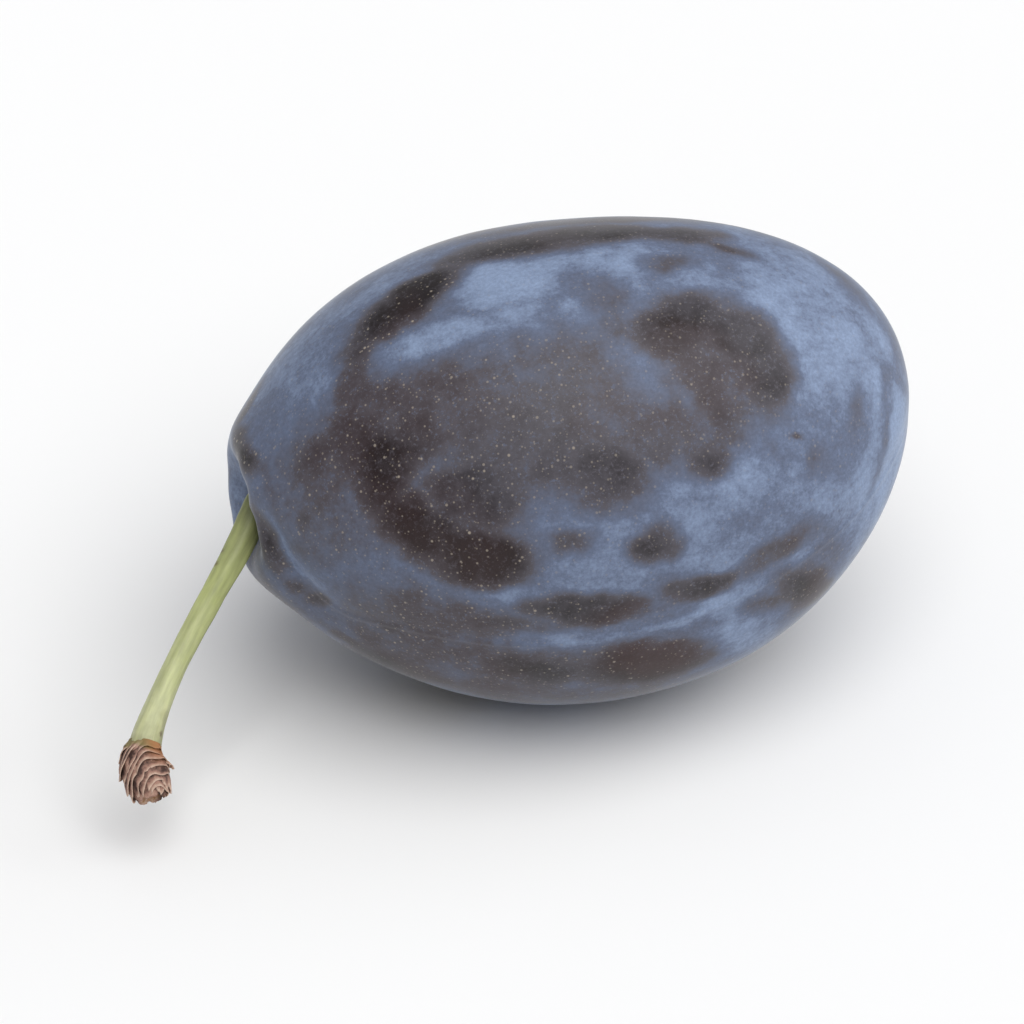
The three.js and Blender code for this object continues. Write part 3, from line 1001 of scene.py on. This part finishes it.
def scale_sheet(context, draw, turns, tips, span, lift, across):
    """Points and edge values of one scale: a sheet with a front and a back, free at its tip.

    turns and tips hold the place round the knob and the tip's share, across the
    scale; across runs from -1 to 1.
    """
    knob = context.scene.plum_knob
    up = np.linspace(0, 1, SCALE_ALONG)[:, None]
    turns = turns[None, :] + 0 * up
    shares = np.clip(tips[None, :] - (1 - up) * span, -0.04, 1.02)
    sides = (1 - np.abs(across) ** 4)[None, :]
    ridges = SCALE_RIDGES * np.cos(across * draw.uniform(7, 13) + draw.uniform(0, 6))[None, :]
    outer = knob_radius(knob, shares) - SCALE_FOOT + (lift * sides + ridges) * up**1.3
    inner = outer - knob.scale_thickness * (0.35 + 0.65 * sides) * (1.1 - 0.4 * up)
    distances = knob_start(context) + shares * knob.length
    fronts = lay_round(context, distances, turns, outer)
    backs = lay_round(context, distances, turns, inner)
    vertices = np.concatenate((fronts.reshape(-1, 3), backs.reshape(-1, 3)))
    # Low at a scale's foot, as painted shade under the scale before it, and high at its dry tip.
    dryness_and_shade = np.broadcast_to(up**4 * 0.9 + 0.1 * (1 - sides), turns.shape)
    values = np.stack((dryness_and_shade, shares, 0 * shares), axis=-1).reshape(-1, 3)
    return vertices, np.concatenate((values, values))


def ring_scales(context, draw):
    """The scales of the skewed rings, from the first to the last."""
    across = np.linspace(-1, 1, SCALE_ACROSS)
    ring = -SKEW
    while ring < 1:
        ring += SCAR_SPACING * draw.uniform(0.6, 1.4)
        start = draw.uniform(0, 2 * math.pi)
        for number in range(SCARS_IN_RING):
            middle = start + 2 * math.pi * number / SCARS_IN_RING + draw.uniform(-0.2, 0.2)
            half_width = math.pi / SCARS_IN_RING * draw.uniform(0.95, 1.35)
            turns = middle + across * half_width
            ragged = np.sin(across * draw.uniform(2, 7) + draw.uniform(0, 6))
            edge = SCAR_ROUNDNESS * (1 - across**2) + SCAR_RAGGEDNESS * ragged
            tips = ring + skew(turns) + edge
            inside = turns[(tips > SCAR_TIPS[0]) & (tips < SCAR_TIPS[1])]
            if not len(inside) or inside[-1] - inside[0] < SCAR_LEAST:
                continue
            turns = np.linspace(inside[0], inside[-1], SCALE_ACROSS)
            tips = np.clip(ring + skew(turns) + edge, 0.05, 1)
            lift = draw.uniform(*SCAR_LIFTS) * MM
            yield scale_sheet(context, draw, turns, tips, SCAR_SPAN, lift, across)


def single_scales(context, draw):
    """The listed scales, one by one."""
    across = np.linspace(-1, 1, SCALE_ACROSS)
    for turn, tip, span, half_width, lift, point in SINGLE_SCALES:
        turns = (turn + across * half_width) * DEG
        tips = tip - point * np.abs(across) ** 1.4 + 0.01 * np.sin(9 * across + turn)
        yield scale_sheet(context, draw, turns, tips, span, lift * MM, across)


def sheet_faces(rows, columns):
    """Faces of a sheet with a front and a back of that many vertices, joined round its rim."""
    back = rows * columns
    faces = []
    for i in range(rows - 1):
        for j in range(columns - 1):
            a = i * columns + j
            faces.append((a, a + columns, a + columns + 1, a + 1))
            faces.append((back + a, back + a + 1, back + a + columns + 1, back + a + columns))
    rim = [(0, j) for j in range(columns - 1)]
    rim += [(i, columns - 1) for i in range(rows - 1)]
    rim += [(rows - 1, j) for j in range(columns - 1, 0, -1)]
    rim += [(i, 0) for i in range(rows - 1, 0, -1)]
    order = [i * columns + j for i, j in rim]
    for a, b in zip(order, order[1:] + order[:1]):
        faces.append((a, b, back + b, back + a))
    return faces


def knob_finish(knob):
    """Dry brown scales with painted shade in the crevices, light along their edges, and torn orange wood.
    """
    brown = Finish("bud_scale_brown")
    here = brown.here()
    fibres = brown.noise(here, 3.0, detail=5, roughness=0.65)
    blotch = brown.noise(here, 0.8, detail=3)
    parts = brown.node("ShaderNodeSeparateXYZ", {0: brown.attribute("wear_and_shade", vector=True)})
    dryness_and_shade, share, torn = parts.outputs
    wear_and_shade = brown.calc("ADD", dryness_and_shade, brown.spread(fibres, 0.3, 0.7, -0.20, 0.22, False))
    wear_and_shade = brown.calc("ADD", wear_and_shade, brown.spread(blotch, 0.3, 0.7, -0.16, 0.24, False))
    tint = brown.ramp(wear_and_shade, ((0.0, knob.shade_brown), (0.38, knob.scale), (0.95, knob.scale_edge)))
    near_stem = brown.calc("ADD", share, brown.sway(blotch, 0.09))
    tint = brown.mix(brown.spread(near_stem, 0.04, 0.15, 0.8, 0), tint, knob.collar)
    beside = brown.node("ShaderNodeSeparateXYZ", {0: here}).outputs["X"]
    near_collar = brown.spread(share, 0.05, 0.6, 0.8, 0)
    rusty = brown.calc("MULTIPLY", brown.spread(beside, *RUSTY_SIDE), near_collar)
    tint = brown.mix(rusty, tint, knob.rust)
    wood = brown.mix(brown.spread(fibres, 0.35, 0.7), knob.wood, knob.scale_edge)
    wood = brown.mix(brown.spread(dryness_and_shade, 0.2, 0.75, 0.75, 0), wood, knob.shade_brown)
    tint = brown.mix(torn, tint, wood)
    return brown.dress(
        Base_Color=tint,
        Roughness=brown.spread(fibres, 0.3, 0.7, 0.62, 0.85, False),
        Specular_IOR_Level=0.28,
        Normal=brown.bump(fibres, 0.8, 0.06 * MM),
    )


class PLUM_OT_knob(bpy.types.Operator):
    """Build the woody knob: its core with the broken face, and the bud scales"""

    bl_idname = "plum.knob"
    bl_label = "Build Knob"

    def execute(self, context):
        knob = context.scene.plum_knob
        browns = knob_finish(knob)
        self.core(context, knob, browns)
        self.scales(context, knob, browns)
        return {"FINISHED"}

    def core(self, context, knob, material):
        """A rough round whose far end turns in to a dished, torn face."""
        out = np.linspace(0, 1, KNOB_RINGS)
        dish = np.linspace(0.93, 0.05, DISH_RINGS)
        around = np.linspace(0, 2 * math.pi, KNOB_SIDES, endpoint=False)
        shares, _ = np.meshgrid(np.concatenate((out, np.ones(DISH_RINGS))), around, indexing="ij")
        inward, around = np.meshgrid(np.concatenate((np.ones(KNOB_RINGS), dish)), around, indexing="ij")
        torn = np.clip((1 - inward) / TORN_EDGE, 0, 1)
        radii = knob_radius(knob, shares) * inward
        place = np.stack((radii * np.cos(around), radii * np.sin(around), shares * knob.length), -1)
        place[..., 2] -= knob.dish * (1 - inward**2)
        rough = noise_at(place, 1.3 / MM)
        fine = noise_at(place, 3.2 / MM, 9.0)
        radii = radii + (CORE_ROUGHNESS * rough + CORE_GRAIN * fine - CORE_SINK) * inward
        rim = RIM_RAGGEDNESS * (np.sin(5 * around) + np.sin(11 * around + 2)) * shares**12
        distances = knob_start(context) + shares * (knob.length - CORE_SHORTER)
        distances = distances - knob.dish * (1 - inward**2) * (1 + TORN_GRAIN * fine)
        distances = distances + TORN_ROUGHNESS * rough * torn - np.maximum(rim, 0) * inward**3
        made = closed_round("knob_core", lay_round(context, distances, around, radii), flipped=True)
        # Low, so that the core seen between the scales shows as painted shade.
        dryness_and_shade = np.clip(0.22 + 0.5 * rough + 0.4 * torn, 0, 1)
        store(made, "wear_and_shade", with_caps(np.stack((dryness_and_shade, shares, torn), axis=-1)))
        finish_piece(made, material, "bud_scale_knob")

    def scales(self, context, knob, material):
        """All scales as one piece: the rings of scars, and the single scales over them."""
        draw = random.Random(knob.seed)
        sheets = [*ring_scales(context, draw), *single_scales(context, draw)]
        faces = sheet_faces(SCALE_ALONG, SCALE_ACROSS)
        size = len(sheets[0][0])
        faces = [tuple(i + size * n for i in face) for n in range(len(sheets)) for face in faces]
        made = mesh_object("bud_scales", np.concatenate([points for points, _ in sheets]), faces)
        store(made, "wear_and_shade", np.concatenate([values for _, values in sheets]))
        finish_piece(made, material, None)


# ---------------------------------------------------------------------------
# Stage
# ---------------------------------------------------------------------------

FLOOR_HALF = 4.0
FLOOR_SHADE = (0.85, 0.85, 0.85)  # mixed into the floor's colour in faint clouds
HORIZON_BAND = 0.03  # sine of the elevation up to which the surround stays as the floor
LAMPS = (  # name, azimuth, elevation and spread in degrees, and colour
    ("key_lamp", 20, 66, 60, (1.0, 0.99, 0.97)),
    ("fill_lamp", 95, 24, 50, (0.97, 0.99, 1.0)),
)


def lamp(strength, name, azimuth, elevation, spread, tint):
    """A broad lamp far away, so that it lights the whole floor evenly."""
    light = bpy.data.lights.new(name, "SUN")
    light.angle = spread * DEG
    light.energy = strength
    light.color = tint
    made = bpy.data.objects.new(name, light)
    back = direction(azimuth * DEG, elevation * DEG)
    made.rotation_euler = back.to_track_quat("Z", "Y").to_euler()
    bpy.context.scene.collection.objects.link(made)


def direction(azimuth, elevation):
    """Away from the plum: azimuth from the -Y side towards +X, elevation above the horizontal."""
    flat = math.cos(elevation)
    return Vector((math.sin(azimuth) * flat, -math.cos(azimuth) * flat, math.sin(elevation)))


class PLUM_OT_stage(bpy.types.Operator):
    """Lay the pale floor and set the lamps, the surround and the camera"""

    bl_idname = "plum.stage"
    bl_label = "Build Stage"

    def execute(self, context):
        stage = context.scene.plum_stage
        self.floor(stage)
        self.surround(context, stage)
        for strength, settings in zip((stage.key_strength, stage.fill_strength), LAMPS):
            lamp(strength, *settings)
        self.camera(context, stage)
        return {"FINISHED"}

    def floor(self, stage):
        corners = [(-1, -1), (1, -1), (1, 1), (-1, 1)]
        vertices = np.array([(x * FLOOR_HALF, y * FLOOR_HALF, 0.0) for x, y in corners])
        made = mesh_object("pale_floor", vertices, [(0, 1, 2, 3)])
        finish = Finish("pale_floor")
        mottle = finish.noise(finish.here(), 0.02, detail=2)
        tint = finish.mix(finish.spread(mottle, 0.3, 0.7, 0, 0.03), stage.floor, FLOOR_SHADE)
        made.data.materials.append(finish.dress(Base_Color=tint, Roughness=0.9, Specular_IOR_Level=0.2))

    def surround(self, context, stage):
        world = bpy.data.worlds.new("white_surround")
        world.use_nodes = True
        nodes, links = world.node_tree.nodes, world.node_tree.links
        heights = nodes.new("ShaderNodeSeparateXYZ")
        links.new(nodes.new("ShaderNodeTexCoord").outputs["Generated"], heights.inputs[0])
        ramp = nodes.new("ShaderNodeValToRGB")
        links.new(heights.outputs["Z"], ramp.inputs["Fac"])
        stops = (
            (HORIZON_BAND, stage.horizon),
            (2 * HORIZON_BAND, stage.low_surround),
            (0.5, stage.low_surround),
            (0.9, stage.high_surround),
        )
        set_stops(ramp.color_ramp, stops)
        links.new(ramp.outputs["Color"], nodes["Background"].inputs["Color"])
        context.scene.world = world
        context.scene.view_settings.view_transform = "Standard"

    def camera(self, context, stage):
        lens = bpy.data.cameras.new("camera")
        lens.lens = stage.lens
        lens.clip_start = 0.01
        lens.clip_end = 20
        made = bpy.data.objects.new("camera", lens)
        back = direction(stage.camera_azimuth, stage.camera_elevation)
        right = Vector((-back.y, back.x, 0)).normalized()
        aim = Vector((0, 0, context.scene.plum_fruit.rest_height))
        aim += right * stage.aim_right + back.cross(right) * stage.aim_up
        made.location = aim + back * stage.camera_distance
        made.rotation_euler = back.to_track_quat("Z", "Y").to_euler()
        context.scene.collection.objects.link(made)
        context.scene.camera = made


# ---------------------------------------------------------------------------
# Panel and registration
# ---------------------------------------------------------------------------


class PLUM_PT_panel(bpy.types.Panel):
    """The buttons that build the plum, with its settings."""

    bl_label = "Prune Plum"
    bl_idname = "PLUM_PT_panel"
    bl_space_type = "VIEW_3D"
    bl_region_type = "UI"
    bl_category = "Plum"

    def draw(self, context):
        for operator in OPERATORS:
            self.layout.operator(operator.bl_idname)
        for name in GROUPS:
            box = self.layout.box()
            group = getattr(context.scene, name)
            for key in group.__annotations__:
                box.prop(group, key)


GROUPS = {
    "plum_fruit": PlumFruitSettings,
    "plum_stem": PlumStemSettings,
    "plum_knob": PlumKnobSettings,
    "plum_stage": PlumStageSettings,
}
OPERATORS = (PLUM_OT_stage, PLUM_OT_fruit, PLUM_OT_stem, PLUM_OT_knob)


def register():
    for group in GROUPS.values():
        bpy.utils.register_class(group)
    for name, group in GROUPS.items():
        setattr(bpy.types.Scene, name, bpy.props.PointerProperty(type=group))
    for operator in OPERATORS:
        bpy.utils.register_class(operator)
    bpy.utils.register_class(PLUM_PT_panel)


def unregister():
    bpy.utils.unregister_class(PLUM_PT_panel)
    for operator in reversed(OPERATORS):
        bpy.utils.unregister_class(operator)
    for name, group in GROUPS.items():
        delattr(bpy.types.Scene, name)
        bpy.utils.unregister_class(group)


def main():
    register()
    bpy.ops.plum.stage()
    bpy.ops.plum.fruit()
    bpy.ops.plum.stem()
    bpy.ops.plum.knob()


if __name__ == "__main__":
    main()
